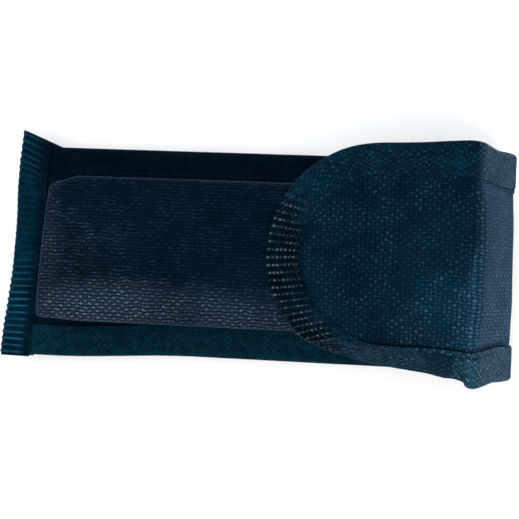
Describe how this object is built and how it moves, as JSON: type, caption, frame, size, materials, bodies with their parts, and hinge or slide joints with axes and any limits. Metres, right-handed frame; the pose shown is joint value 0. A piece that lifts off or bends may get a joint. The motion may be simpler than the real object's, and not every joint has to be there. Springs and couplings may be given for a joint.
{
  "type": "belt pouch for a compact flashlight",
  "caption": "Closed box-shaped nylon belt pouch for a compact flashlight: taped flanges, a folding crown and a round-ended flap that opens, and a webbing belt loop.",
  "frame": {"origin": "on the ground under the middle of the closed pouch, which lies on its belt loop", "axes": "+X along the pouch to its mouth, +Z out of the pocket's face, +Y to the left seen from behind the closed end"},
  "size_m": [0.151, 0.066, 0.0461],
  "materials": {
    "shell_fabric": "coarse coated nylon, plain weave, dark navy, low sheen",
    "binding_tape": "ribbed woven tape, dark navy",
    "lining": "fine plain nylon, matte",
    "stiffener": "closed-cell foam, matte",
    "hook_and_loop": "hook and loop tape, matte pile",
    "webbing": "heavy woven webbing, low sheen",
    "thread": "bonded nylon thread"
  },
  "bodies": {
    "pouch": {"back_shell": "shell_fabric", "back_stiffener": "stiffener", "back_lining": "lining", "front_shell": "shell_fabric", "front_foam": "stiffener", "front_lining": "lining", "mouth_binding": "binding_tape", "loop_patch": "hook_and_loop", "side_binding_left": "binding_tape", "side_binding_right": "binding_tape", "end_binding": "binding_tape", "belt_loop": "webbing", "belt_loop_bar_tacks": "thread"},
    "crown": {"crown_shell": "shell_fabric", "crown_stiffener": "stiffener", "crown_lining": "lining", "crown_binding_left": "binding_tape", "crown_binding_right": "binding_tape"},
    "flap": {"flap_shell": "shell_fabric", "flap_stiffener": "stiffener", "flap_lining": "lining", "flap_binding": "binding_tape", "hook_patch": "hook_and_loop"}
  },
  "joints": [
    {"name": "crown_hinge", "type": "hinge", "parent": "pouch", "child": "crown", "pos_m": [0.07462, 0, 0.0094], "axis": [0, 1, 0], "range_deg": [0, 107]},
    {"name": "flap_fold", "type": "hinge", "parent": "crown", "child": "flap", "pos_m": [0.06337, 0, 0.044], "axis": [0, 1, 0], "range_deg": [0, 80]}
  ]
}
